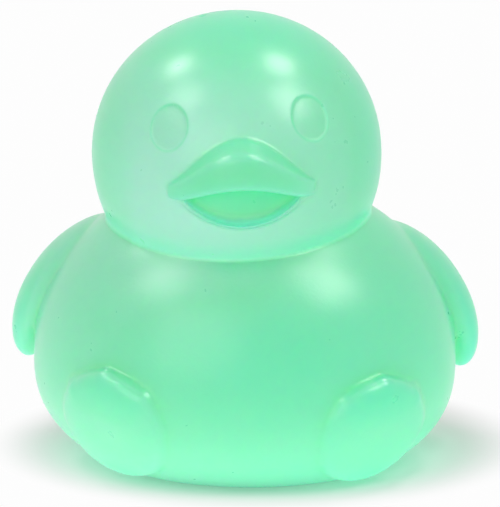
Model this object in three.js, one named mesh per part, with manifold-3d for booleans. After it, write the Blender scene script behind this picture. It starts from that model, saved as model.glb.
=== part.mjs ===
// A squishy toy duck, moulded in one piece from soft translucent rubber.
// It sits upright: a squashed round body on a flat base, a ball head with an open bill,
// wings folded down the sides, two feet in low relief on the belly and a small tail.
// Millimetres and degrees, +Z up. The duck faces -Y, and the origin is under its middle.

import * as THREE from "three";
import { mergeVertices } from "three/addons/utils/BufferGeometryUtils.js";
import Module from "manifold-3d";

// Body: a squashed ball, fuller than round, cut flat underneath. It leans a little to one side.
const BODY_WIDTH = 58.2;
const BODY_FRONT = 24.8;
const BODY_BACK = 24.6;
const BELLY_LEVEL = 14.2;
const BODY_RISE = 25.7;
const BODY_DROP = 17.0;
const SHOULDER_FULLNESS = 2.12;
const BELLY_FULLNESS = 2.35;
const BODY_OFFSET = -0.3;
const BODY_FORWARD = 1.0;
const BODY_LEAN = 1.4;

// Head: a ball sunk into the body, rolled towards one shoulder and turned towards the other.
const HEAD_WIDTH = 39.3;
const HEAD_DEPTH = 39.2;
const HEAD_LEVEL = 43.6;
const HEAD_RISE = 19.1;
const HEAD_DROP = 19.4;
const CROWN_FULLNESS = 2.02;
const CHIN_FULLNESS = 2.1;
const HEAD_OFFSET = -1.05;
const HEAD_FORWARD = 3.4;
const HEAD_ROLL = -3.5;
const HEAD_TURN = 2.0;

// Eyes: flat oval recesses in the face, above the head's middle.
const EYE_WIDTH = 5.5;
const EYE_HEIGHT = 6.2;
const EYE_DEPTH = 0.15;
const EYE_SPACING = 18.7;
const EYE_RISE = 6.8;
const EYES_OFFSET = 0.3;

// Bill: an arched upper bill with a thick front edge that hangs lower at its ends, over an open
// mouth that is deep under the bill and shallow at its low lower lip. Heights are from the corners
// of the mouth, and reaches are from the skin of the face.
const BILL_WIDTH = 19.8;
const BILL_LEVEL = -0.9;
const BILL_ROLL = 2.2;
const BILL_ROOT = 3.0;
const BILL_REACH = 4.6;
const BILL_ARCH = 6.3;
const BILL_RIDGE = 4.9;
const BILL_EDGE = 0.0;
const BILL_DROOP = 3.4;
const BILL_FULLNESS = 7.0;
const BILL_TAPER = 1.2;
const RIDGE_TAPER = 3.2;
const MOUTH_WIDTH = 17.4;
const MOUTH_RISE = 0.5;
const MOUTH_DROP = 5.4;
const MOUTH_DEPTH = 2.3;
const MOUTH_FLOOR_DEPTH = 1.0;
const MOUTH_TAPER = 1.4;
const LOWER_LIP_REACH = 0.3;
const LOWER_LIP_WIDTH = 0.5;
const LOWER_LIP_CORNER = 1.0;

// Wings: thick flaps bowed round the sides, with their tips low and a little back.
const WING_LENGTH = 24.4;
const WING_DEPTH = 22.0;
const WING_THICKNESS = 5.8;
const WING_BOW = 2.6;
const WING_LEVEL = 22.5;
const WING_SINK = 2.2;
const WING_SLOPE = 32.0;
const WING_SETBACK = 5.5;
const WING_SWEEP = 4.0;
const WING_TAPER = 0.3;
const WING_FULLNESS = 2.4;

// Feet: plump oval soles that face forward in low relief, turned outwards. Their toes are rounded
// lobes along the upper edge, fanned about a way of their own. A toe's place is the share of the
// way out from the middle of the sole to its edge.
const FOOT_WIDTH = 17.5;
const FOOT_LENGTH = 16.9;
const FOOT_THICKNESS = 6.0;
const FOOT_FULLNESS = 2.4;
const FOOT_PLACE = 17.8;
const FOOT_LEVEL = 8.2;
const FOOT_TURN = 35.0;
const FOOT_TILT = 4.0;
const FOOT_RELIEF = 1.0;
const TOE_COUNT = 3;
const TOE_FAN = -37.0;
const TOE_SPREAD = 45.0;
const TOE_PLACE = 0.54;
const TOE_LENGTH = 8.5;
const TOE_WIDTH = 7.0;
const TOE_THICKNESS = 5.0;

// Tail: a plain blunt point turned up at the back.
const TAIL_LENGTH = 24.0;
const TAIL_WIDTH = 34.0;
const TAIL_THICKNESS = 24.0;
const TAIL_TAPER = 0.46;
const TAIL_LEVEL = 18.0;
const TAIL_REACH = 4.0;
const TAIL_SLOPE = 34.0;

// Facets around and along each form.
const BODY_FACETS = [60, 34];
const HEAD_FACETS = [48, 28];
const BILL_FACETS = [24, 16];
const WING_FACETS = [24, 20];
const FOOT_FACETS = [36, 10];
const TOE_FACETS = [16, 10];
const TAIL_FACETS = [24, 16];
const EYE_FACETS = 40;

const RUBBER = new THREE.MeshStandardMaterial({ color: 0x7ee8b8, roughness: 0.38, metalness: 0 });

const wasm = await Module();
wasm.setup();

const { clamp, degToRad, lerp } = THREE.MathUtils;
const turnedX = (degrees) => new THREE.Matrix4().makeRotationX(degToRad(degrees));
const turnedY = (degrees) => new THREE.Matrix4().makeRotationY(degToRad(degrees));
const turnedZ = (degrees) => new THREE.Matrix4().makeRotationZ(degToRad(degrees));
const movedTo = (x, y, z) => new THREE.Matrix4().makeTranslation(x, y, z);

// A sine or cosine squared up by a fullness: 2 keeps the circle, and more fills its corners.
const filled = (value, fullness) => Math.sign(value) * Math.abs(value) ** (2 / fullness);

// The same for a ball's ring, as the factor by which its points move out.
const filledRing = (ring, fullness) => (ring > 0 ? filled(ring, fullness) / ring : 0);

// A geometry with its shared vertices merged, which closes it.
function closed(geometry) {
  const bare = new THREE.BufferGeometry();
  bare.setAttribute("position", geometry.getAttribute("position"));
  bare.setIndex(geometry.index);
  return mergeVertices(bare);
}

// A closed geometry as a solid that can be joined and cut.
function solidOf(geometry) {
  return new wasm.Manifold(
    new wasm.Mesh({
      numProp: 3,
      vertProperties: new Float32Array(geometry.getAttribute("position").array),
      triVerts: new Uint32Array(geometry.index.array),
    }),
  );
}

// A unit ball with its poles on the Z axis, each point sent through a shaping rule.
function shapedBall([columns, rows], rule) {
  const ball = closed(new THREE.SphereGeometry(1, columns, rows).rotateX(Math.PI / 2));
  const places = ball.getAttribute("position");
  const point = new THREE.Vector3();
  for (let i = 0; i < places.count; i += 1) {
    point.fromBufferAttribute(places, i);
    rule(point);
    places.setXYZ(i, point.x, point.y, point.z);
  }
  return solidOf(ball);
}

function geometryOf(solid) {
  const mesh = solid.getMesh();
  const geometry = new THREE.BufferGeometry();
  geometry.setAttribute("position", new THREE.BufferAttribute(new Float32Array(mesh.vertProperties), 3));
  geometry.setIndex(new THREE.BufferAttribute(new Uint32Array(mesh.triVerts), 1));
  geometry.computeVertexNormals();
  return geometry;
}

const BODY = {
  side: BODY_WIDTH / 2,
  front: BODY_FRONT,
  back: BODY_BACK,
  rise: BODY_RISE,
  drop: BODY_DROP,
  above: SHOULDER_FULLNESS,
  below: BELLY_FULLNESS,
};

const HEAD = {
  side: HEAD_WIDTH / 2,
  front: HEAD_DEPTH / 2,
  back: HEAD_DEPTH / 2,
  rise: HEAD_RISE,
  drop: HEAD_DROP,
  above: CROWN_FULLNESS,
  below: CHIN_FULLNESS,
};

// The body or the head about its own middle, drawn in all over by an inset.
function roundForm(form, facets, inset = 0) {
  return shapedBall(facets, (p) => {
    const fullness = p.z > 0 ? form.above : form.below;
    const spread = filledRing(Math.hypot(p.x, p.y), fullness);
    p.set(
      p.x * spread * (form.side - inset),
      p.y * spread * ((p.y < 0 ? form.front : form.back) - inset),
      filled(p.z, fullness) * ((p.z > 0 ? form.rise : form.drop) - inset),
    );
  });
}

// How wide a form still is at a height, as a share of its widest ring.
function shareAt(form, height) {
  const fullness = height > 0 ? form.above : form.below;
  const climbed = Math.abs(height) / (height > 0 ? form.rise : form.drop);
  return (1 - Math.min(climbed, 1) ** fullness) ** (1 / fullness);
}

// The point of a form's front skin at a place across it and a height.
function skinAt(form, across, height) {
  const reach = shareAt(form, height) ** 2 - (across / form.side) ** 2;
  return new THREE.Vector3(across, -form.front * Math.sqrt(Math.max(reach, 0)), height);
}

// The way straight out of the skin at that point.
function outwardAt(form, across, height) {
  const step = 0.01;
  const here = skinAt(form, across, height);
  const aside = skinAt(form, across + step, height).sub(here);
  const above = skinAt(form, across, height + step).sub(here);
  return aside.cross(above).normalize();
}

// Axes that stand on the skin there: X aside, Y up along the skin and Z straight out.
function standingAt(form, across, height) {
  const out = outwardAt(form, across, height);
  const along = new THREE.Vector3(0, 0, 1).addScaledVector(out, -out.z).normalize();
  return new THREE.Matrix4()
    .makeBasis(along.clone().cross(out), along, out)
    .setPosition(skinAt(form, across, height));
}

// A toe about the middle of its foot, rising out of the sole towards its tip. Toes count from the
// inside of the foot.
function toe(side, number) {
  const outwards = TOE_FAN + (number - (TOE_COUNT - 1) / 2) * TOE_SPREAD;
  const aside = (side * Math.sin(degToRad(outwards)) * FOOT_WIDTH) / 2;
  const ahead = (Math.cos(degToRad(outwards)) * FOOT_LENGTH) / 2;
  const placing = movedTo(aside * TOE_PLACE, ahead * TOE_PLACE, 0).multiply(turnedZ(-side * outwards));
  const lobe = shapedBall(TOE_FACETS, (p) => {
    p.set((p.x * TOE_WIDTH) / 2, (p.y * TOE_LENGTH) / 2, (p.z * TOE_THICKNESS) / 2);
  });
  return lobe.transform(placing.elements);
}

function foot(side) {
  const placing = standingAt(BODY, side * FOOT_PLACE, FOOT_LEVEL - BELLY_LEVEL)
    .multiply(movedTo(0, 0, FOOT_RELIEF - FOOT_THICKNESS / 2))
    .multiply(turnedX(FOOT_TILT))
    .multiply(turnedZ(-side * FOOT_TURN));
  let sole = shapedBall(FOOT_FACETS, (p) => {
    const spread = filledRing(Math.hypot(p.x, p.y), FOOT_FULLNESS);
    p.set(
      (p.x * spread * FOOT_WIDTH) / 2,
      (p.y * spread * FOOT_LENGTH) / 2,
      (filled(p.z, FOOT_FULLNESS) * FOOT_THICKNESS) / 2,
    );
  });
  for (let number = 0; number < TOE_COUNT; number += 1) {
    sole = sole.add(toe(side, number));
  }
  return sole.transform(placing.elements);
}

function wing(side) {
  const level = WING_LEVEL - BELLY_LEVEL;
  const out = BODY.side * shareAt(BODY, level) - WING_SINK;
  const placing = movedTo(side * out, 0, level).multiply(turnedY(-side * WING_SLOPE));
  const flap = shapedBall(WING_FACETS, (p) => {
    const towardsTip = (1 - p.z) / 2;
    const depth = WING_DEPTH * (1 - WING_TAPER * towardsTip);
    const along = filled(p.z, WING_FULLNESS);
    const back = (p.y * depth) / 2 + WING_SETBACK + WING_SWEEP * towardsTip;
    const bow = WING_BOW * (1 - along ** 2) - back ** 2 / BODY_WIDTH;
    p.set(
      (filled(p.x, WING_FULLNESS) * WING_THICKNESS) / 2 + side * bow,
      back,
      (along * WING_LENGTH) / 2,
    );
  });
  return flap.transform(placing.elements);
}

function tail() {
  const level = TAIL_LEVEL - BELLY_LEVEL;
  const halfRun = (TAIL_LENGTH / 2) * Math.cos(degToRad(TAIL_SLOPE));
  const back = BODY.back * shareAt(BODY, level) + TAIL_REACH - halfRun;
  const placing = movedTo(0, back, level).multiply(turnedX(TAIL_SLOPE));
  const point = shapedBall(TAIL_FACETS, (p) => {
    const taper = 1 - (TAIL_TAPER * (1 + p.y)) / 2;
    p.set(
      (p.x * taper * TAIL_WIDTH) / 2,
      (p.y * TAIL_LENGTH) / 2,
      (p.z * taper * TAIL_THICKNESS) / 2,
    );
  });
  return point.transform(placing.elements);
}

function body() {
  const placing = turnedY(BODY_LEAN).multiply(movedTo(BODY_OFFSET, -BODY_FORWARD, BELLY_LEVEL));
  return roundForm(BODY, BODY_FACETS)
    .add(wing(1))
    .add(wing(-1))
    .add(foot(1))
    .add(foot(-1))
    .add(tail())
    .transform(placing.elements);
}

// One form of the bill: a ball with its poles at the corners of the mouth. At each place across,
// its section is a rounded box between a back and a reach and between a bottom and a top. The top
// falls to a ridge at the front, and the back may slope to a heel at the bottom. The share is 1
// mid-width and narrows to 0 at the corners, and aside runs from 0 to 1.
function billForm(width, sectionAt) {
  const roll = degToRad(BILL_ROLL);
  const nothing = 1e-9;
  return shapedBall(BILL_FACETS, (p) => {
    const share = Math.max(Math.hypot(p.x, p.y), nothing);
    const section = sectionAt(share, Math.min(Math.abs(p.z), 1));
    const forward = (1 + filled(p.y / share, BILL_FULLNESS)) / 2;
    const upward = (1 + filled(p.x / share, BILL_FULLNESS)) / 2;
    const across = (p.z * width) / 2;
    const depth = lerp(lerp(section.heel, section.back, upward), section.reach, forward);
    const top = lerp(section.top, section.ridge, clamp(depth / (section.reach + nothing), 0, 1));
    const height = lerp(section.bottom, top, upward);
    p.set(
      across * Math.cos(roll) + height * Math.sin(roll),
      skinAt(HEAD, across, BILL_LEVEL).y - depth,
      BILL_LEVEL + height * Math.cos(roll) - across * Math.sin(roll),
    );
  });
}

function upperBill() {
  return billForm(BILL_WIDTH, (share, aside) => ({
    back: -BILL_ROOT * share,
    heel: -BILL_ROOT * share,
    reach: BILL_REACH * share ** BILL_TAPER,
    top: BILL_ARCH * Math.cos((Math.PI / 2) * aside) ** BILL_TAPER,
    ridge: BILL_RIDGE * share ** RIDGE_TAPER,
    bottom: (BILL_EDGE - BILL_DROOP * aside ** 2) * Math.sqrt(share),
  }));
}

function lowerLip() {
  return billForm(MOUTH_WIDTH + 2 * LOWER_LIP_CORNER, (share) => ({
    back: -BILL_ROOT * share,
    heel: -BILL_ROOT * share,
    reach: LOWER_LIP_REACH * share ** BILL_TAPER,
    top: 0,
    ridge: 0,
    bottom: -(MOUTH_DROP + LOWER_LIP_WIDTH) * share ** MOUTH_TAPER,
  }));
}

function mouth() {
  return billForm(MOUTH_WIDTH, (share) => ({
    back: -MOUTH_DEPTH * share,
    heel: -MOUTH_FLOOR_DEPTH * share,
    reach: BILL_REACH * share ** BILL_TAPER,
    top: MOUTH_RISE * share,
    ridge: MOUTH_RISE * share,
    bottom: -MOUTH_DROP * share ** MOUTH_TAPER,
  }));
}

// An oval prism through the face, less the head drawn in by the depth of the recess.
function eye(side) {
  const across = EYES_OFFSET + (side * EYE_SPACING) / 2;
  const placing = standingAt(HEAD, across, EYE_RISE).multiply(
    new THREE.Matrix4().makeScale(EYE_WIDTH / 2, EYE_HEIGHT / 2, EYE_HEIGHT),
  );
  const prism = closed(new THREE.CylinderGeometry(1, 1, 1, EYE_FACETS).rotateX(Math.PI / 2));
  return solidOf(prism)
    .transform(placing.elements)
    .subtract(roundForm(HEAD, HEAD_FACETS, EYE_DEPTH));
}

function head() {
  const placing = movedTo(HEAD_OFFSET, -HEAD_FORWARD, HEAD_LEVEL)
    .multiply(turnedY(HEAD_ROLL))
    .multiply(turnedZ(HEAD_TURN));
  return roundForm(HEAD, HEAD_FACETS)
    .add(lowerLip())
    .subtract(mouth())
    .add(upperBill())
    .subtract(eye(1))
    .subtract(eye(-1))
    .transform(placing.elements);
}

// Everything below the table, which cuts the base flat.
function underside() {
  const span = 2 * BODY_WIDTH;
  const box = new THREE.BoxGeometry(span, span, BODY_DROP).translate(0, 0, -BODY_DROP / 2);
  return solidOf(closed(box));
}

const duck = new THREE.Mesh(geometryOf(body().add(head()).subtract(underside())), RUBBER);
duck.name = "duck";

const model = new THREE.Group();
model.add(duck);
export default model;
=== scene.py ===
"""A squishy toy duck, moulded in one piece from soft translucent mint-green rubber.

Each form of the duck is a ball sent through a shaping rule. The forms are joined and cut, drawn
over with an even skin, softened where the rubber's creases are soft, and thinned out again.
Everything is in metres and radians, +Z up, and the duck faces -Y.
"""

import math
from dataclasses import dataclass

import bmesh
import bpy
import numpy as np
from bpy.props import FloatProperty, FloatVectorProperty, IntProperty, PointerProperty
from bpy.types import Operator, Panel, PropertyGroup
from mathutils import Matrix, Vector


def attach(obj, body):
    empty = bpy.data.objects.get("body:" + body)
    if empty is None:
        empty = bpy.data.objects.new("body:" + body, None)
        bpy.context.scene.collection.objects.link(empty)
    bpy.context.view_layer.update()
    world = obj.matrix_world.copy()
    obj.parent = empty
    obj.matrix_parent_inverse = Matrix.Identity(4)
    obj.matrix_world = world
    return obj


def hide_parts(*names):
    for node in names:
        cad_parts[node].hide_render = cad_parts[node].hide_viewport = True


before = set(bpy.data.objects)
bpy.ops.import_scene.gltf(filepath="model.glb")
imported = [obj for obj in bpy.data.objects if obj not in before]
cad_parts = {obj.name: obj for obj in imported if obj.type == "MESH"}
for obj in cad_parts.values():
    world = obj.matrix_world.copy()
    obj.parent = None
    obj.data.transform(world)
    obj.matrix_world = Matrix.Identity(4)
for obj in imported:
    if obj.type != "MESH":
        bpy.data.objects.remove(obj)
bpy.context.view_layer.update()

bl_info = {
    "name": "Squishy duck",
    "version": (1, 0, 0),
    "blender": (4, 5, 0),
    "location": "View3D > Sidebar > Duck",
    "description": "Moulds a translucent soft rubber duck and sets it on a pale floor",
    "category": "Add Mesh",
}

MM = 0.001
LEFT = -1
RIGHT = 1


def length(name, description, millimetres):
    """A length that a user may change, given in millimetres and kept in metres."""
    return FloatProperty(
        name=name, description=description, default=millimetres * MM, unit="LENGTH", precision=4
    )


def angle(name, description, degrees):
    """An angle that a user may change, given in degrees and kept in radians."""
    return FloatProperty(
        name=name, description=description, default=math.radians(degrees), subtype="ANGLE"
    )


def number(name, description, default):
    """A plain number that a user may change."""
    return FloatProperty(name=name, description=description, default=default, precision=3)


def count(name, description, default):
    """A whole number that a user may change."""
    return IntProperty(name=name, description=description, default=default, min=1)


def share(name, description, default):
    """A share from 0 to 1 that a user may change."""
    return FloatProperty(
        name=name, description=description, default=default, min=0.0, max=1.0, subtype="FACTOR"
    )


def colour(name, description, default):
    """A linear colour that a user may change."""
    return FloatVectorProperty(
        name=name, description=description, default=default, size=3, min=0.0, max=1.0,
        subtype="COLOR",
    )


class BodySizes(PropertyGroup):
    """The body: a squashed ball, cut flat underneath, that leans a little to one side."""

    width: length("Width", "Across the widest ring", 58.2)
    front: length("Front", "From the middle to the breast", 24.8)
    back: length("Back", "From the middle to the rump", 24.6)
    level: length("Level", "Height of the widest ring above the table", 14.2)
    rise: length("Rise", "From the widest ring up to the top", 25.7)
    drop: length("Drop", "From the widest ring down, before the base is cut", 17.0)
    above: number("Shoulder fullness", "2 is round, and more fills the corners", 2.12)
    below: number("Belly fullness", "2 is round, and more fills the corners", 2.35)
    offset: length("Offset", "How far the middle lies to the right", -0.3)
    forward: length("Forward", "How far the middle lies to the front", 1.0)
    lean: angle("Lean", "Turn about the way it faces", 1.4)


class HeadSizes(PropertyGroup):
    """The head: a ball sunk into the body, rolled to one shoulder and turned to the other."""

    width: length("Width", "Across the widest ring", 39.3)
    depth: length("Depth", "From the face to the back of the head", 39.2)
    level: length("Level", "Height of the widest ring above the table", 43.6)
    rise: length("Rise", "From the widest ring up to the crown", 19.1)
    drop: length("Drop", "From the widest ring down to the chin", 19.4)
    above: number("Crown fullness", "2 is round, and more fills the corners", 2.02)
    below: number("Chin fullness", "2 is round, and more fills the corners", 2.1)
    offset: length("Offset", "How far the middle lies to the right", -1.05)
    forward: length("Forward", "How far the middle lies to the front", 3.4)
    roll: angle("Roll", "Turn about the way it faces", -3.5)
    turn: angle("Turn", "Turn about the upright", 2.0)


class EyeSizes(PropertyGroup):
    """The eyes: shallow oval recesses in the face."""

    width: length("Width", "Across an eye", 5.5)
    height: length("Height", "From the bottom to the top of an eye", 6.2)
    depth: length("Depth", "Depth of the recess", 0.15)
    spacing: length("Spacing", "Between the middles of the eyes", 18.7)
    rise: length("Rise", "Height above the head's widest ring", 6.8)
    offset: length("Offset", "How far the pair lies to the right", 0.3)


class BillSizes(PropertyGroup):
    """The bill: an arched upper bill over an open mouth with a low lower lip."""

    width: length("Width", "Across the upper bill", 19.8)
    level: length("Level", "Height of the mouth's corners above the head's ring", -0.9)
    roll: angle("Roll", "Turn about the way the face looks", 2.2)
    root: length("Root", "How far the bill reaches into the head", 3.0)
    reach: length("Reach", "How far the upper bill stands out", 4.6)
    arch: length("Arch", "Height of the upper bill where it meets the face", 6.3)
    ridge: length("Ridge", "Height of the ridge at the front", 4.9)
    edge: length("Edge", "Height of the upper bill's edge above the mouth's corners", 0.0)
    droop: length("Droop", "How much lower the edge hangs towards the corners", 3.4)
    fullness: number("Fullness", "How square the bill's section is", 7.0)
    taper: number("Taper", "How fast the upper bill narrows to its corners", 1.2)
    ridge_taper: number("Ridge taper", "How fast the ridge falls to the corners", 3.2)
    mouth_width: length("Mouth width", "Across the mouth", 17.4)
    mouth_rise: length("Mouth rise", "From the mouth's corners up into the bill", 0.5)
    mouth_drop: length("Mouth drop", "From the mouth's corners down to the lower lip", 5.4)
    mouth_depth: length("Mouth depth", "Depth of the mouth under the bill", 2.3)
    floor_depth: length("Mouth floor depth", "Depth of the mouth at the lower lip", 1.0)
    mouth_taper: number("Mouth taper", "How fast the mouth narrows to its corners", 1.4)
    lip_reach: length("Lower lip reach", "How far the lower lip stands out", 0.3)
    lip_width: length("Lower lip width", "Width of the lower lip in the middle", 0.5)
    lip_corner: length("Lower lip corner", "Width of the lower lip at the mouth's corners", 1.0)


class WingSizes(PropertyGroup):
    """The wings: thick flaps bowed round the sides, with their tips low and a little back."""

    length: length("Length", "From the shoulder to the tip", 24.4)
    depth: length("Depth", "From front to back at the shoulder", 22.0)
    thickness: length("Thickness", "Through the flap", 5.8)
    bow: length("Bow", "How far the flap bows outwards", 2.6)
    level: length("Level", "Height of the middle above the table", 22.5)
    sink: length("Sink", "How far the middle lies inside the body's skin", 2.2)
    slope: angle("Slope", "Lean of the flap, out at the tip", 32.0)
    setback: length("Setback", "How far the wing lies behind the middle", 5.5)
    sweep: length("Sweep", "How much further back the tip lies", 4.0)
    taper: share("Taper", "How much narrower the tip is", 0.3)
    fullness: number("Fullness", "How square the flap's edges are", 2.4)


class FootSizes(PropertyGroup):
    """The feet: plump oval soles that face forward in low relief, with toes as rounded lobes."""

    width: length("Width", "Across a sole", 17.5)
    length: length("Length", "From the heel to the far edge of the sole", 16.9)
    thickness: length("Thickness", "Through the foot, most of it inside the belly", 6.0)
    fullness: number("Fullness", "How square the sole's edges are", 2.4)
    place: length("Place", "How far to the side a foot lies", 17.8)
    level: length("Level", "Height of a foot's middle above the table", 8.2)
    turn: angle("Turn", "How far the feet turn outwards", 35.0)
    tilt: angle("Tilt", "How far the toes stand out from the belly", 4.0)
    relief: length("Relief", "How far a foot stands out", 1.0)
    toes: count("Toes", "How many toes a foot has", 3)
    fan: angle("Toe fan", "The way the middle toe points, from the foot's own", -37.0)
    spread: angle("Toe spread", "From one toe to the next", 45.0)
    toe_place: share("Toe place", "How far out in the sole the middle of a toe lies", 0.54)
    toe_length: length("Toe length", "From the root of a toe to its tip", 8.5)
    toe_width: length("Toe width", "Across a toe", 7.0)
    toe_thickness: length("Toe thickness", "Through a toe", 5.0)


class TailSizes(PropertyGroup):
    """The tail: a plain blunt point turned up at the back."""

    length: length("Length", "From the root to the tip", 24.0)
    width: length("Width", "Across the root", 34.0)
    thickness: length("Thickness", "Through the root", 24.0)
    taper: share("Taper", "How much narrower the tip is", 0.46)
    level: length("Level", "Height of the middle above the table", 18.0)
    reach: length("Reach", "How far it stands out behind", 4.0)
    slope: angle("Slope", "How far the tip turns up", 34.0)


class SkinSettings(PropertyGroup):
    """The duck's even skin, its soft creases and its small marks."""

    cell: length("Cell", "Side of a face of the first skin", 0.22)
    triangles: count("Triangles", "How many triangles the finished duck has", 190000)
    crispness: count("Crease smoothing", "Rounds of smoothing all over", 5)
    foot_softness: count("Soft feet", "Rounds of smoothing round the feet", 16)
    softness: count("Soft creases", "Rounds of smoothing round the wings and the tail", 60)
    nick_width: length("Nick width", "Across the mark that the mould's gate left", 1.6)
    nick_depth: length("Nick depth", "Depth of that mark", 0.22)


class RubberSettings(PropertyGroup):
    """The translucent rubber's colours and finish."""

    # Painted light: the pale colour is a painted sheen on the face, and the deep colour is painted shade, as in
    # the mouth, the eyes, the belly's middle and the crown.
    pale: colour("Pale colour", "Where the rubber looks pale, as on the face", (0.47, 0.97, 0.74))
    plain: colour("Plain colour", "The rubber's own colour", (0.20, 0.91, 0.52))
    deep: colour("Deep colour", "Where the rubber looks deepest, as in the mouth", (0.06, 0.98, 0.52))
    # A painted glow: the rubber gives off this colour along the head's lower edge, up the chin, on the face and
    # in the mouth.
    through: colour("Painted glow", "Painted glow, brightest along the head's lower edge", (0.07, 0.28, 0.20))
    glow: length("Glow", "How far light travels inside the rubber", 7.0)
    roughness: share("Roughness", "Blur of the highlights", 0.29)
    grain: length("Grain", "Height of the skin's fine grain", 0.015)
    cloud: share("Cloudiness", "How much the depth of the colour wanders", 0.12)


class StageSettings(PropertyGroup):
    """The camera, the lamps and the floor."""

    distance: length("Camera distance", "From the camera to the duck", 500.0)
    elevation: angle("Camera elevation", "How far the camera looks down", 12.5)
    aim_across: length("Aim across", "How far to the right of the middle the camera aims", 0.76)
    aim_level: length("Aim level", "Height above the table that the camera aims at", 28.6)
    view_height: length("View height", "Height that the picture covers", 69.74)
    lamps: number("Lamps", "How bright the lamps are, against the way they were set", 1.0)
    surroundings: share("Surroundings", "Brightness of the white room", 0.34)
    floor: colour("Floor", "Colour of the floor in the duck's shadow", (0.97, 0.86, 0.90))
    table: number("Table light", "Brightness of the floor as the duck's underside sees it", 1.3)
    table_edge: number("Table light far off", "The same for the floor far off", 0.5)


class DuckSettings(PropertyGroup):
    """Every size and colour of the duck and its stage."""

    body: PointerProperty(type=BodySizes)
    head: PointerProperty(type=HeadSizes)
    eye: PointerProperty(type=EyeSizes)
    bill: PointerProperty(type=BillSizes)
    wing: PointerProperty(type=WingSizes)
    foot: PointerProperty(type=FootSizes)
    tail: PointerProperty(type=TailSizes)
    skin: PointerProperty(type=SkinSettings)
    rubber: PointerProperty(type=RubberSettings)
    stage: PointerProperty(type=StageSettings)


# Columns and rows of faces on each form, before the skin is drawn over them.
BODY_FACES = (192, 112)
HEAD_FACES = (160, 96)
BILL_FACES = (96, 72)
WING_FACES = (96, 72)
FOOT_FACES = (128, 48)
TOE_FACES = (64, 40)
TAIL_FACES = (72, 48)
EYE_SIDES = 96


def filled(value, fullness):
    """A sine or cosine squared up: a fullness of 2 keeps the circle, and more fills its corners."""
    return math.copysign(abs(value) ** (2 / fullness), value)


def filled_ring(ring, fullness):
    """The same for a ball's ring, as the factor by which its points move out."""
    return filled(ring, fullness) / ring if ring > 0 else 0.0


def mixed(low, high, part):
    """The value that lies a part of the way from low to high."""
    return low + (high - low) * part


def moved(x, y, z):
    """A move, as a matrix."""
    return Matrix.Translation((x, y, z))


def turned(radians, axis):
    """A turn about an axis, as a matrix."""
    return Matrix.Rotation(radians, 4, axis)


def mesh_of(form):
    """A bmesh as a mesh, and the bmesh freed."""
    mesh = bpy.data.meshes.new("form")
    form.to_mesh(mesh)
    form.free()
    return mesh


def shaped_ball(faces, rule, placing):
    """A closed unit ball with its poles on the Z axis, each point sent through a rule and placed."""
    ball = bmesh.new()
    bmesh.ops.create_uvsphere(ball, u_segments=faces[0], v_segments=faces[1], radius=1.0)
    for vertex in ball.verts:
        vertex.co = rule(vertex.co)
    bmesh.ops.transform(ball, matrix=placing, verts=ball.verts)
    return mesh_of(ball)


@dataclass
class RoundForm:
    """A ball with a reach of its own each way, and a fullness above and below its widest ring."""

    side: float
    front: float
    back: float
    rise: float
    drop: float
    above: float
    below: float

    def rule(self, inset=0.0):
        """The shaping rule for the form, drawn in all over by an inset."""

        def place(p):
            fullness = self.above if p.z > 0 else self.below
            spread = filled_ring(math.hypot(p.x, p.y), fullness)
            depth = self.front if p.y < 0 else self.back
            height = self.rise if p.z > 0 else self.drop
            return Vector((
                p.x * spread * (self.side - inset),
                p.y * spread * (depth - inset),
                filled(p.z, fullness) * (height - inset),
            ))

        return place

    def share_at(self, height):
        """How wide the form still is at a height, as a share of its widest ring."""
        fullness = self.above if height > 0 else self.below
        climbed = min(abs(height) / (self.rise if height > 0 else self.drop), 1.0)
        return (1 - climbed**fullness) ** (1 / fullness)

    def skin_at(self, across, height):
        """The point of the front skin at a place across the form and a height."""
        reach = self.share_at(height) ** 2 - (across / self.side) ** 2
        return Vector((across, -self.front * math.sqrt(max(reach, 0.0)), height))

    def standing_at(self, across, height):
        """Axes that stand on the skin there: X aside, Y up along the skin and Z straight out."""
        step = 0.01 * MM
        here = self.skin_at(across, height)
        aside = self.skin_at(across + step, height) - here
        above = self.skin_at(across, height + step) - here
        out = aside.cross(above).normalized()
        along = (Vector((0, 0, 1)) - out * out.z).normalized()
        axes = Matrix((along.cross(out), along, out)).transposed().to_4x4()
        return Matrix.Translation(here) @ axes


def body_form(body):
    """The body's round form."""
    return RoundForm(
        body.width / 2, body.front, body.back, body.rise, body.drop, body.above, body.below
    )


def body_placing(body):
    """Where the body's middle lies, and how it leans."""
    return turned(body.lean, "Y") @ moved(body.offset, -body.forward, body.level)


def head_form(head):
    """The head's round form."""
    half = head.depth / 2
    return RoundForm(head.width / 2, half, half, head.rise, head.drop, head.above, head.below)


def head_placing(head):
    """Where the head's middle lies, and how it rolls and turns."""
    place = moved(head.offset, -head.forward, head.level)
    return place @ turned(head.roll, "Y") @ turned(head.turn, "Z")


def foot_placing(duck, side):
    """Where a foot's middle lies, and how it stands on the belly."""
    foot, body = duck.foot, duck.body
    place = body_form(body).standing_at(side * foot.place, foot.level - body.level)
    sunk = moved(0, 0, foot.relief - foot.thickness / 2)
    return body_placing(body) @ place @ sunk @ turned(foot.tilt, "X") @ turned(-side * foot.turn, "Z")


def toe_mesh(duck, side, number):
    """A toe that rises out of the sole towards its tip. Toes count from the inside of the foot."""
    foot = duck.foot
    outwards = foot.fan + (number - (foot.toes - 1) / 2) * foot.spread
    aside = side * math.sin(outwards) * foot.width / 2 * foot.toe_place
    ahead = math.cos(outwards) * foot.length / 2 * foot.toe_place
    placing = moved(aside, ahead, 0) @ turned(-side * outwards, "Z")

    def rule(p):
        return Vector((
            p.x * foot.toe_width / 2, p.y * foot.toe_length / 2, p.z * foot.toe_thickness / 2
        ))

    return shaped_ball(TOE_FACES, rule, foot_placing(duck, side) @ placing)


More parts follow.
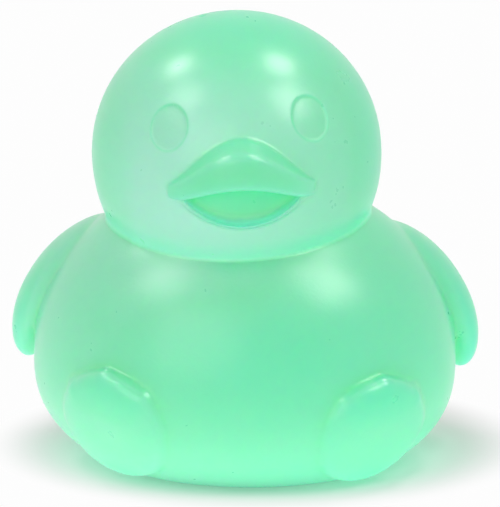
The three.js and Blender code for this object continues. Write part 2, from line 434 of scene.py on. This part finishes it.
def foot_mesh(duck, side):
    """A foot: a plump oval sole with its toes joined to it."""
    foot = duck.foot

    def rule(p):
        spread = filled_ring(math.hypot(p.x, p.y), foot.fullness)
        return Vector((
            p.x * spread * foot.width / 2,
            p.y * spread * foot.length / 2,
            filled(p.z, foot.fullness) * foot.thickness / 2,
        ))

    sole = shaped_ball(FOOT_FACES, rule, foot_placing(duck, side))
    return combined(sole, [("UNION", toe_mesh(duck, side, number)) for number in range(foot.toes)])


def wing_placing(duck, side):
    """Where a wing's middle lies, and how it slopes."""
    wing, body = duck.wing, duck.body
    level = wing.level - body.level
    out = body.width / 2 * body_form(body).share_at(level) - wing.sink
    return body_placing(body) @ moved(side * out, 0, level) @ turned(-side * wing.slope, "Y")


def wing_mesh(duck, side):
    """A folded wing, bowed round the body from front to back and from shoulder to tip."""
    wing = duck.wing

    def rule(p):
        towards_tip = (1 - p.z) / 2
        depth = wing.depth * (1 - wing.taper * towards_tip)
        along = filled(p.z, wing.fullness)
        back = p.y * depth / 2 + wing.setback + wing.sweep * towards_tip
        bow = wing.bow * (1 - along**2) - back**2 / duck.body.width
        out = filled(p.x, wing.fullness) * wing.thickness / 2 + side * bow
        return Vector((out, back, along * wing.length / 2))

    return shaped_ball(WING_FACES, rule, wing_placing(duck, side))


def tail_placing(duck):
    """Where the tail's middle lies, and how it turns up."""
    tail, body = duck.tail, duck.body
    level = tail.level - body.level
    half_run = tail.length / 2 * math.cos(tail.slope)
    back = body.back * body_form(body).share_at(level) + tail.reach - half_run
    return body_placing(body) @ moved(0, back, level) @ turned(tail.slope, "X")


def tail_mesh(duck):
    """A blunt tail that narrows to its tip."""
    tail = duck.tail

    def rule(p):
        taper = 1 - tail.taper * (1 + p.y) / 2
        return Vector((
            p.x * taper * tail.width / 2,
            p.y * tail.length / 2,
            p.z * taper * tail.thickness / 2,
        ))

    return shaped_ball(TAIL_FACES, rule, tail_placing(duck))


@dataclass
class BillSection:
    """A section of the bill: how far back and out it reaches, and its heights.

    The back may slope to a heel at the bottom, and the top falls to a ridge at the front.
    """

    back: float
    heel: float
    reach: float
    top: float
    ridge: float
    bottom: float


def bill_mesh(duck, width, section_at):
    """A form of the bill, with its poles at the corners of the mouth.

    The section at each place across it is a rounded box. The narrowing is 1 mid-width and 0 at
    the corners, and aside runs from 0 to 1.
    """
    bill = duck.bill
    skin = head_form(duck.head)
    nothing = 1e-9

    def rule(p):
        narrowing = max(math.hypot(p.x, p.y), nothing)
        section = section_at(narrowing, min(abs(p.z), 1.0))
        forward = (1 + filled(p.y / narrowing, bill.fullness)) / 2
        upward = (1 + filled(p.x / narrowing, bill.fullness)) / 2
        across = p.z * width / 2
        depth = mixed(mixed(section.heel, section.back, upward), section.reach, forward)
        run = min(max(depth / (section.reach + nothing), 0.0), 1.0)
        height = mixed(section.bottom, mixed(section.top, section.ridge, run), upward)
        return Vector((
            across * math.cos(bill.roll) + height * math.sin(bill.roll),
            skin.skin_at(across, bill.level).y - depth,
            bill.level + height * math.cos(bill.roll) - across * math.sin(bill.roll),
        ))

    return shaped_ball(BILL_FACES, rule, head_placing(duck.head))


def upper_bill_mesh(duck):
    """The arched upper bill."""
    bill = duck.bill
    return bill_mesh(duck, bill.width, lambda narrowing, aside: BillSection(
        back=-bill.root * narrowing,
        heel=-bill.root * narrowing,
        reach=bill.reach * narrowing**bill.taper,
        top=bill.arch * math.cos(math.pi / 2 * aside) ** bill.taper,
        ridge=bill.ridge * narrowing**bill.ridge_taper,
        bottom=(bill.edge - bill.droop * aside**2) * math.sqrt(narrowing),
    ))


def lower_lip_mesh(duck):
    """The lower lip, which the mouth is then cut out of."""
    bill = duck.bill
    return bill_mesh(duck, bill.mouth_width + 2 * bill.lip_corner, lambda narrowing, _: BillSection(
        back=-bill.root * narrowing,
        heel=-bill.root * narrowing,
        reach=bill.lip_reach * narrowing**bill.taper,
        top=0.0,
        ridge=0.0,
        bottom=-(bill.mouth_drop + bill.lip_width) * narrowing**bill.mouth_taper,
    ))


def mouth_mesh(duck):
    """The open mouth, as the form that is cut out."""
    bill = duck.bill
    return bill_mesh(duck, bill.mouth_width, lambda narrowing, _: BillSection(
        back=-bill.mouth_depth * narrowing,
        heel=-bill.floor_depth * narrowing,
        reach=bill.reach * narrowing**bill.taper,
        top=bill.mouth_rise * narrowing,
        ridge=bill.mouth_rise * narrowing,
        bottom=-bill.mouth_drop * narrowing**bill.mouth_taper,
    ))


def eye_placing(duck, side):
    """Where an eye's middle lies on the face, with Z straight out of it."""
    across = duck.eye.offset + side * duck.eye.spacing / 2
    return head_placing(duck.head) @ head_form(duck.head).standing_at(across, duck.eye.rise)


def eye_mesh(duck, side):
    """An oval prism through the face, less the head drawn in by the depth of the recess."""
    eye = duck.eye
    prism = bmesh.new()
    bmesh.ops.create_cone(
        prism, cap_ends=True, segments=EYE_SIDES, radius1=1.0, radius2=1.0, depth=1.0
    )
    bmesh.ops.scale(prism, vec=(eye.width / 2, eye.height / 2, eye.height), verts=prism.verts)
    bmesh.ops.transform(prism, matrix=eye_placing(duck, side), verts=prism.verts)
    floor = shaped_ball(HEAD_FACES, head_form(duck.head).rule(eye.depth), head_placing(duck.head))
    return combined(mesh_of(prism), [("DIFFERENCE", floor)])


def underside_mesh(duck):
    """Everything below the table, which cuts the base flat."""
    box = bmesh.new()
    bmesh.ops.create_cube(box, size=2 * duck.body.width)
    bmesh.ops.translate(box, vec=(0, 0, -duck.body.width), verts=box.verts)
    return mesh_of(box)


def object_of(name, mesh):
    """A mesh as an object of the scene."""
    made = bpy.data.objects.new(name, mesh)
    bpy.context.scene.collection.objects.link(made)
    return made


def finished(made):
    """The mesh that an object's modifiers make, and the object removed."""
    bpy.context.view_layer.update()
    depsgraph = bpy.context.evaluated_depsgraph_get()
    mesh = bpy.data.meshes.new_from_object(made.evaluated_get(depsgraph))
    bpy.data.objects.remove(made)
    return mesh


def combined(base, steps):
    """A closed mesh with others joined to it or cut out of it, in order."""
    made = object_of("forms", base)
    tools = []
    for operation, mesh in steps:
        tool = object_of("tool", mesh)
        tools.append(tool)
        cut = made.modifiers.new(operation, "BOOLEAN")
        cut.operation = operation
        cut.solver = "MANIFOLD"
        cut.object = tool
    mesh = finished(made)
    for tool in tools:
        bpy.data.objects.remove(tool)
    return mesh


def duck_forms(duck):
    """The duck's forms, joined and cut as one closed mesh."""
    body = shaped_ball(BODY_FACES, body_form(duck.body).rule(), body_placing(duck.body))
    head = shaped_ball(HEAD_FACES, head_form(duck.head).rule(), head_placing(duck.head))
    head = combined(head, [
        ("UNION", lower_lip_mesh(duck)),
        ("DIFFERENCE", mouth_mesh(duck)),
        ("UNION", upper_bill_mesh(duck)),
        ("DIFFERENCE", eye_mesh(duck, LEFT)),
        ("DIFFERENCE", eye_mesh(duck, RIGHT)),
    ])
    return combined(body, [
        ("UNION", wing_mesh(duck, LEFT)),
        ("UNION", wing_mesh(duck, RIGHT)),
        ("UNION", foot_mesh(duck, LEFT)),
        ("UNION", foot_mesh(duck, RIGHT)),
        ("UNION", tail_mesh(duck)),
        ("UNION", head),
        ("DIFFERENCE", underside_mesh(duck)),
    ])


def places_of(mesh):
    """The places of a mesh's vertices, as rows of an array."""
    places = np.empty(len(mesh.vertices) * 3)
    mesh.vertices.foreach_get("co", places)
    return places.reshape(-1, 3)


def soft_group(made, name, spots):
    """A vertex group of all that lies near some spots, each a middle and a reach."""
    places = places_of(made.data)
    near = np.zeros(len(places), bool)
    for middle, reach in spots:
        near |= np.linalg.norm(places - np.array(middle), axis=1) < reach
    group = made.vertex_groups.new(name=name)
    group.add(np.flatnonzero(near).tolist(), 1.0, "REPLACE")
    return name


def softened(mesh, duck):
    """The duck's skin, smoothed all over and more round the feet, the wings and the tail."""
    made = object_of("skin", mesh)
    feet = [(foot_placing(duck, side).translation, duck.foot.length * 0.75) for side in (LEFT, RIGHT)]
    wings = [(wing_placing(duck, side).translation, duck.wing.length * 0.78) for side in (LEFT, RIGHT)]
    tail = (tail_placing(duck).translation, duck.tail.width * 0.62)
    for rounds, where in (
        (duck.skin.crispness, ""),
        (duck.skin.foot_softness, soft_group(made, "feet", feet)),
        (duck.skin.softness, soft_group(made, "wings_and_tail", [*wings, tail])),
    ):
        smooth = made.modifiers.new("smooth", "SMOOTH")
        smooth.factor = 0.5
        smooth.iterations = rounds
        smooth.vertex_group = where
    return finished(made)


def pressed(mesh, place, width, depth):
    """Presses a small round mark into the skin."""
    places = places_of(mesh)
    normals = np.empty(len(places) * 3)
    mesh.vertices.foreach_get("normal", normals)
    away = np.linalg.norm(places - np.array(place), axis=1) / (width / 2)
    strength = np.clip(1 - away**2, 0, 1) ** 2
    places -= normals.reshape(-1, 3) * (strength * depth)[:, None]
    mesh.vertices.foreach_set("co", places.ravel())


def crown_place(head, across):
    """The point of the crown's skin at a place across the head."""
    form = head_form(head)
    height = head.rise * (1 - (across / form.side) ** 2) ** (1 / head.above)
    return head_placing(head) @ Vector((across, 0, height))


def skinned(mesh, duck):
    """The joined forms drawn over with one even skin, softened, marked and thinned."""
    made = object_of("skin", mesh)
    remesh = made.modifiers.new("skin", "REMESH")
    remesh.mode = "VOXEL"
    remesh.voxel_size = duck.skin.cell
    skin = softened(finished(made), duck)
    pressed(skin, crown_place(duck.head, NICK_ACROSS), duck.skin.nick_width, duck.skin.nick_depth)
    made = object_of("skin", skin)
    thin = made.modifiers.new("thin", "DECIMATE")
    thin.ratio = min(1.0, duck.skin.triangles / sum(len(face.vertices) - 2 for face in skin.polygons))
    return main_shell(finished(made))


def main_shell(mesh):
    """The biggest shell of a mesh, without the crumbs that the skin may leave in a fold."""
    form = bmesh.new()
    form.from_mesh(mesh)
    unseen = set(form.verts)
    shells = []
    while unseen:
        edge_of_shell = {unseen.pop()}
        shell = set(edge_of_shell)
        while edge_of_shell:
            near = {edge.other_vert(vertex) for vertex in edge_of_shell for edge in vertex.link_edges}
            edge_of_shell = near & unseen
            unseen -= edge_of_shell
            shell |= edge_of_shell
        shells.append(shell)
    shells.sort(key=len)
    crumbs = [vertex for shell in shells[:-1] for vertex in shell]
    bmesh.ops.delete(form, geom=crumbs, context="VERTS")
    return mesh_of(form)


# How far to the right of the head's middle the mould's gate left its nick.
NICK_ACROSS = -3.4 * MM


def seen_from(placing, places):
    """Places in the axes of a form, from its own middle."""
    back = np.array(placing.inverted())
    return places @ back[:3, :3].T + back[:3, 3]


def height_over(form, placing, places):
    """How far each place lies outside a form's own skin, about straight out of it."""
    local = seen_from(placing, places)
    height = local[:, 2]
    fullness = np.where(height > 0, form.above, form.below)
    climb = np.abs(height) / np.where(height > 0, form.rise, form.drop)
    ring = np.hypot(local[:, 0] / form.side, local[:, 1] / form.front)
    radius = (ring**fullness + climb**fullness) ** (1 / fullness)
    return (radius - 1) * form.front


def blob(places, middle, reach):
    """1 at a middle, fading smoothly to 0 over a reach of its own each way."""
    away = (places - np.array(middle)) / np.array(reach)
    return np.exp(-(away**2).sum(axis=1))


def risen(values, start, end):
    """0 up to a start, rising evenly to 1 at an end."""
    return np.clip((values - start) / (end - start), 0, 1)


def eye_painted_shade(duck, side, places):
    """How much deeper an eye is painted: painted shade over its recess, and most along the rim of the recess.
    """
    eye = duck.eye
    local = seen_from(eye_placing(duck, side), places)
    ring = np.hypot(local[:, 0] / (eye.width / 2), local[:, 1] / (eye.height / 2))
    facing = np.abs(local[:, 2]) < eye.width / 2
    floor = np.clip((1 - ring) * 8, 0, 1)
    rim = np.exp(-(((ring - 1) / EYE_SHADED_RIM) ** 2))
    return facing * (0.06 * floor + 0.28 * rim)


class Places:
    """The duck's points, with how far each lies outside the head's and the body's own skin."""

    def __init__(self, duck, places):
        head, body = duck.head, duck.body
        self.places = places
        self.on_head = seen_from(head_placing(head), places)
        self.over_head = height_over(head_form(head), head_placing(head), places)
        self.over_body = height_over(body_form(body), body_placing(body), places)
        self.facing = self.on_head[:, 1] < 0
        self.about_bill = self.facing & (self.over_body > 3 * MM)
        # The face's middle, where a painted sheen makes the colour pale and adds a little painted glow.
        self.face = blob(places, (-4 * MM, -head.depth / 2 - head.forward, head.level - 2 * MM),
                         (0.45 * head.width, head.depth / 2, 0.85 * head.rise))
        self.in_mouth = risen(-self.over_head, 0.26 * MM, 1.06 * MM) * self.about_bill


def painted_shade_and_sheen(duck, at):
    """How deep the colour is painted: 0 where it is pale, 0.5 plain and 1 deepest.

    Most of it is painted light: a painted sheen makes the face pale, and painted shade deepens the
    belly's middle, the crown, the right side, the head's sides, the eyes, the mouth, the wings, the
    tail and the body under the head.
    """
    body, head = duck.body, duck.head
    # Painted light: the face is painted paler as a sheen, and the belly's middle under the head, the crown and
    # the right side are painted deeper as shade.
    belly = blob(at.places, (0, -body.front, 0.85 * body.rise), (0.3 * body.width, body.front, 0.4 * body.rise))
    crown = blob(at.places, (0, 0, head.level + head.rise), (head.width / 2, head.depth / 2, 0.4 * head.rise))
    shade_to_the_right = at.places[:, 0] / (body.width / 2)
    depth = 0.5 - 0.5 * at.face + 0.34 * belly + 0.35 * crown + 0.12 * shade_to_the_right
    depth += eye_painted_shade(duck, LEFT, at.places) + eye_painted_shade(duck, RIGHT, at.places)
    # Painted shade: deeper along the head's sides, near its outline.
    aside = np.abs(at.on_head[:, 0]) / (head.width / 2)
    depth += 0.3 * (np.abs(at.over_head) < 0.4 * MM) * risen(aside, 0.7, 1.0)
    depth += (BILL_DEPTH - depth) * risen(at.over_head, 0, 0.8 * MM) * at.about_bill
    # Painted shade deepens the recess of the mouth.
    depth += (MOUTH_PAINTED_SHADE - depth) * at.in_mouth
    # Painted shade: deeper where the rubber stands well out of the body, as on the wings and the tail.
    off_head = (1 - at.about_bill) * risen(at.over_head, 0, 0.4 * MM)
    depth += 0.4 * risen(at.over_body, 1.2 * MM, 2.7 * MM) * off_head
    # Painted shade on the body just under the head, fading away from it.
    return depth + 0.15 * np.exp(-at.over_head / MM) * off_head


def painted_glow(duck, at):
    """How much painted glow the rubber gives off, in place of light through it: 1 at the head's lower
    edge, and less up the chin.

    Some glow is painted on the mouth and the face too.
    """
    skin = 1 - risen(np.abs(at.over_head), 0, 0.4 * MM)
    chin = at.facing * skin * np.exp(-np.abs(at.over_body) / (2.2 * MM))
    face = at.facing * skin * at.face
    return np.maximum(chin, 0.3 * face + 0.35 * at.in_mouth)


# How deep the colour of the bill looks, and how deep the painted shade in the mouth is.
BILL_DEPTH = 0.5
MOUTH_PAINTED_SHADE = 0.8

# How wide the painted shade along an eye's rim is, against the eye.
EYE_SHADED_RIM = 0.06


class Value:
    """A socket of a node tree. An expression on values adds its Math nodes."""

    def __init__(self, shader, socket):
        self.shader = shader
        self.socket = socket

    def sent(self, operation, *others):
        """A Math node of this value and others."""
        return self.shader.add("ShaderNodeMath", {"operation": operation}, dict(enumerate((self, *others))))

    def __add__(self, other):
        return self.sent("ADD", other)

    def __sub__(self, other):
        return self.sent("SUBTRACT", other)

    def __rsub__(self, other):
        return (self * -1) + other

    def __mul__(self, other):
        return self.sent("MULTIPLY", other)

    def __pow__(self, other):
        return self.sent("POWER", other)

    __radd__ = __add__
    __rmul__ = __mul__


class Shader:
    """The node tree of a material or a world, emptied to start with."""

    def __init__(self, owner):
        owner.use_nodes = True
        self.tree = owner.node_tree
        self.tree.nodes.clear()

    def add(self, kind, settings=None, sockets=None, output=0):
        """Adds a node: its settings first, then the values or links of its sockets."""
        node = self.tree.nodes.new(kind)
        for name, setting in (settings or {}).items():
            setattr(node, name, setting)
        for name, value in (sockets or {}).items():
            if isinstance(value, Value):
                self.tree.links.new(value.socket, node.inputs[name])
            else:
                node.inputs[name].default_value = value
        if not node.outputs:
            return None
        return Value(self, node.outputs[output])

    def attribute(self, name):
        """A number kept on the piece's own vertices."""
        return self.add("ShaderNodeAttribute", {"attribute_name": name}, output="Fac")

    def between(self, part, low, high):
        """A colour a part of the way from low to high."""
        return self.add(
            "ShaderNodeMix",
            {"data_type": "RGBA", "clamp_factor": True},
            {"Factor": part, 6: low, 7: high},
            output=2,
        )

    def faded(self, value, start, end):
        """1 up to a start, fading smoothly to 0 at an end."""
        return self.add(
            "ShaderNodeMapRange",
            {"interpolation_type": "SMOOTHSTEP"},
            {"Value": value, "From Min": start, "From Max": end, "To Min": 1.0, "To Max": 0.0},
        )

    def ray(self, kind):
        """1 for rays of a kind, such as camera rays, and 0 for others."""
        return self.add("ShaderNodeLightPath", output=f"Is {kind} Ray")


BLACK = (0.0, 0.0, 0.0, 1.0)


def rgba(colour_value):
    """A colour with its alpha."""
    return (*colour_value, 1.0)


def rubber_material(rubber):
    """Soft translucent rubber: light spreads inside it, and its skin has a faint even grain."""
    material = bpy.data.materials.new("soft_rubber")
    shader = Shader(material)
    here = shader.add("ShaderNodeTexCoord", output="Object")
    mottle = shader.add(
        "ShaderNodeTexNoise", {}, {"Vector": here, "Scale": 260.0, "Detail": 3.0, "Roughness": 0.6}
    )
    grain = shader.add(
        "ShaderNodeTexNoise", {}, {"Vector": here, "Scale": 2200.0, "Detail": 2.0, "Roughness": 0.5}
    )
    wandering = (mottle - 0.5) * rubber.cloud
    # The painted shade and sheen kept on the vertices, with a random wander of tone over it.
    depth = shader.attribute("painted_shade_and_sheen") + wandering
    tint = shader.between(depth * 2, rgba(rubber.pale), rgba(rubber.plain))
    tint = shader.between(depth * 2 - 1, tint, rgba(rubber.deep))
    bump = shader.add(
        "ShaderNodeBump", {}, {"Strength": 1.0, "Distance": rubber.grain, "Height": grain},
        output="Normal",
    )
    surface = shader.add("ShaderNodeBsdfPrincipled", {"subsurface_method": "RANDOM_WALK"}, {
        "Base Color": tint,
        "Roughness": mottle * 0.08 + (rubber.roughness - 0.04),
        "IOR": 1.55,
        "Specular IOR Level": 1.0,
        "Normal": bump,
        # Painted glow: the rubber gives off light along the head's lower edge, up the chin, on the face and in
        # the mouth.
        "Emission Color": shader.between(shader.attribute("painted_glow"), BLACK, rgba(rubber.through)),
        "Emission Strength": 1.0,
        "Subsurface Weight": 1.0,
        "Subsurface Radius": (0.35, 1.0, 0.6),
        "Subsurface Scale": rubber.glow,
    })
    shader.add("ShaderNodeOutputMaterial", {}, {"Surface": surface})
    return material


def floor_material(stage):
    """A white floor that keeps the duck's shadow and turns plain white further out.

    The duck itself is lit by the floor close round it, as on a light table.
    """
    material = bpy.data.materials.new("floor_white")
    shader = Shader(material)
    here = shader.add("ShaderNodeTexCoord", output="Object")
    oval = shader.add("ShaderNodeMapping", {"vector_type": "TEXTURE"}, {
        "Vector": here,
        "Location": SHADOW_MIDDLE,
        "Scale": SHADOW_REACH,
    })
    out = shader.add("ShaderNodeVectorMath", {"operation": "LENGTH"}, {0: oval}, output="Value")
    matt = shader.add("ShaderNodeBsdfDiffuse", {}, {"Color": rgba(stage.floor)})
    plain = shader.add("ShaderNodeEmission", {}, {"Strength": FLOOR_WHITE})
    shown = shader.add(
        "ShaderNodeMixShader", {}, {0: shader.faded(out, SHADOW_CORE, 1.0), 1: plain, 2: matt}
    )
    away = shader.add("ShaderNodeVectorMath", {"operation": "LENGTH"}, {0: here}, output="Value")
    near = shader.faded(away, *TABLE_REACH) - shader.faded(away, *COVERED_REACH)
    table = shader.add("ShaderNodeEmission", {}, {
        "Strength": near * (stage.table - stage.table_edge) + stage.table_edge,
    })
    seen = shader.ray("Camera") + shader.ray("Glossy") + shader.ray("Transmission")
    both = shader.add("ShaderNodeMixShader", {}, {0: seen, 1: table, 2: shown})
    shader.add("ShaderNodeOutputMaterial", {}, {"Surface": both})
    return material


# How white the floor is beyond the shadow. The shadow keeps within an oval, and fades from a share
# of that oval outwards. The table light is dim under the duck, and fades out again further off:
# each pair is from where to where.
FLOOR_WHITE = 0.985
SHADOW_MIDDLE = (2.5 * MM, 6.7 * MM, 0)
SHADOW_REACH = (39.0 * MM, 35.5 * MM, 1)
SHADOW_CORE = 0.68
TABLE_REACH = (45 * MM, 130 * MM)
COVERED_REACH = (12 * MM, 25 * MM)


def set_surroundings(stage):
    """A plain white room, which the camera and reflections see at full white."""
    world = bpy.data.worlds.new("white_room")
    bpy.context.scene.world = world
    shader = Shader(world)
    seen = shader.ray("Camera") + shader.ray("Glossy") + shader.ray("Transmission")
    strength = shader.add(
        "ShaderNodeMapRange", {}, {"Value": seen, "To Min": stage.surroundings, "To Max": 1.0}
    )
    white = shader.add("ShaderNodeBackground", {}, {"Color": (1, 1, 1, 1), "Strength": strength})
    shader.add("ShaderNodeOutputWorld", {}, {"Surface": white})


def add_floor(stage):
    """A wide flat floor under the duck."""
    grid = bmesh.new()
    bmesh.ops.create_grid(grid, x_segments=1, y_segments=1, size=FLOOR_REACH)
    floor = object_of("floor", mesh_of(grid))
    floor.data.materials.append(floor_material(stage))


# Half the side of the floor.
FLOOR_REACH = 4.0


@dataclass
class Softbox:
    """A square lamp: the way to it from the duck, how far it hangs, its side and its brightness.

    A brightness of 1 looks white.
    """

    way: tuple
    away: float
    side: float
    brightness: float


SOFTBOXES = {
    "overhead_left": Softbox((-0.527, 0.165, 0.834), 0.65, 0.15, 6.0),
    "overhead_right": Softbox((0.404, 0.076, 0.909), 0.65, 0.165, 7.0),
    "front_left": Softbox((-0.58, -0.36, 0.73), 0.65, 0.25, 2.4),
    "front_right": Softbox((0.60, -0.36, 0.71), 0.65, 0.27, 3.4),
    "broad_left": Softbox((-0.40, -0.90, 0.25), 1.1, 0.8, 0.8),
}


def add_lamps(stage):
    """The softboxes, all pointed at the duck."""
    aim = Vector((0, 0, stage.aim_level))
    for name, softbox in SOFTBOXES.items():
        data = bpy.data.lights.new(name, "AREA")
        data.shape = "SQUARE"
        data.size = softbox.side
        data.energy = stage.lamps * softbox.brightness * math.pi * softbox.side**2
        lamp = bpy.data.objects.new(name, data)
        bpy.context.scene.collection.objects.link(lamp)
        way = Vector(softbox.way).normalized()
        lamp.location = aim + way * softbox.away
        lamp.rotation_euler = way.to_track_quat("Z", "Y").to_euler()


def add_camera(stage):
    """A long lens that looks along +Y and a little down."""
    data = bpy.data.cameras.new("camera")
    data.sensor_width = 36.0
    data.lens = data.sensor_width * stage.distance / stage.view_height
    data.clip_start = stage.distance / 100
    data.clip_end = stage.distance * 100
    camera = bpy.data.objects.new("camera", data)
    bpy.context.scene.collection.objects.link(camera)
    back = Vector((0, -math.cos(stage.elevation), math.sin(stage.elevation)))
    camera.location = Vector((stage.aim_across, 0, stage.aim_level)) + back * stage.distance
    camera.rotation_euler = back.to_track_quat("Z", "Y").to_euler()
    bpy.context.scene.camera = camera


class SQUISHY_DUCK_OT_mould(Operator):
    """Mould the duck: join and cut its forms, draw its skin over them and give it its rubber"""

    bl_idname = "squishy_duck.mould"
    bl_label = "Mould the duck"

    def execute(self, context):
        duck = context.scene.squishy_duck
        mesh = skinned(duck_forms(duck), duck)
        mesh.shade_smooth()
        mesh.materials.clear()
        at = Places(duck, places_of(mesh))
        # Keeps the painted shade and sheen, and the painted glow, on the vertices.
        for rule in (painted_shade_and_sheen, painted_glow):
            kept = mesh.attributes.new(rule.__name__, "FLOAT", "POINT")
            kept.data.foreach_set("value", rule(duck, at))
        mesh.materials.append(rubber_material(duck.rubber))
        piece = object_of("squishy_duck", mesh)
        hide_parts("duck")
        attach(piece, "root")
        return {"FINISHED"}


class SQUISHY_DUCK_OT_stage(Operator):
    """Set the stage: a pale floor, a white room, soft lamps and the camera"""

    bl_idname = "squishy_duck.stage"
    bl_label = "Set the stage"

    def execute(self, context):
        stage = context.scene.squishy_duck.stage
        add_floor(stage)
        set_surroundings(stage)
        add_lamps(stage)
        add_camera(stage)
        context.scene.view_settings.view_transform = "Standard"
        return {"FINISHED"}


class SQUISHY_DUCK_PT_panel(Panel):
    """The duck's sizes and colours, and its operators"""

    bl_label = "Squishy duck"
    bl_category = "Duck"
    bl_space_type = "VIEW_3D"
    bl_region_type = "UI"

    def draw(self, context):
        settings = context.scene.squishy_duck
        for group in DuckSettings.__annotations__:
            box = self.layout.box()
            box.label(text=group.capitalize())
            sizes = getattr(settings, group)
            for name in type(sizes).__annotations__:
                box.prop(sizes, name)
        for operator in (SQUISHY_DUCK_OT_mould, SQUISHY_DUCK_OT_stage):
            self.layout.operator(operator.bl_idname)


CLASSES = (
    BodySizes,
    HeadSizes,
    EyeSizes,
    BillSizes,
    WingSizes,
    FootSizes,
    TailSizes,
    SkinSettings,
    RubberSettings,
    StageSettings,
    DuckSettings,
    SQUISHY_DUCK_OT_mould,
    SQUISHY_DUCK_OT_stage,
    SQUISHY_DUCK_PT_panel,
)


def register():
    """Registers the classes and the scene's duck settings."""
    for cls in CLASSES:
        bpy.utils.register_class(cls)
    bpy.types.Scene.squishy_duck = PointerProperty(type=DuckSettings)


def unregister():
    """Takes the settings and the classes away again."""
    del bpy.types.Scene.squishy_duck
    for cls in reversed(CLASSES):
        bpy.utils.unregister_class(cls)


def main():
    """Makes the duck and its stage."""
    register()
    bpy.ops.squishy_duck.mould()
    bpy.ops.squishy_duck.stage()


if __name__ == "__main__":
    main()
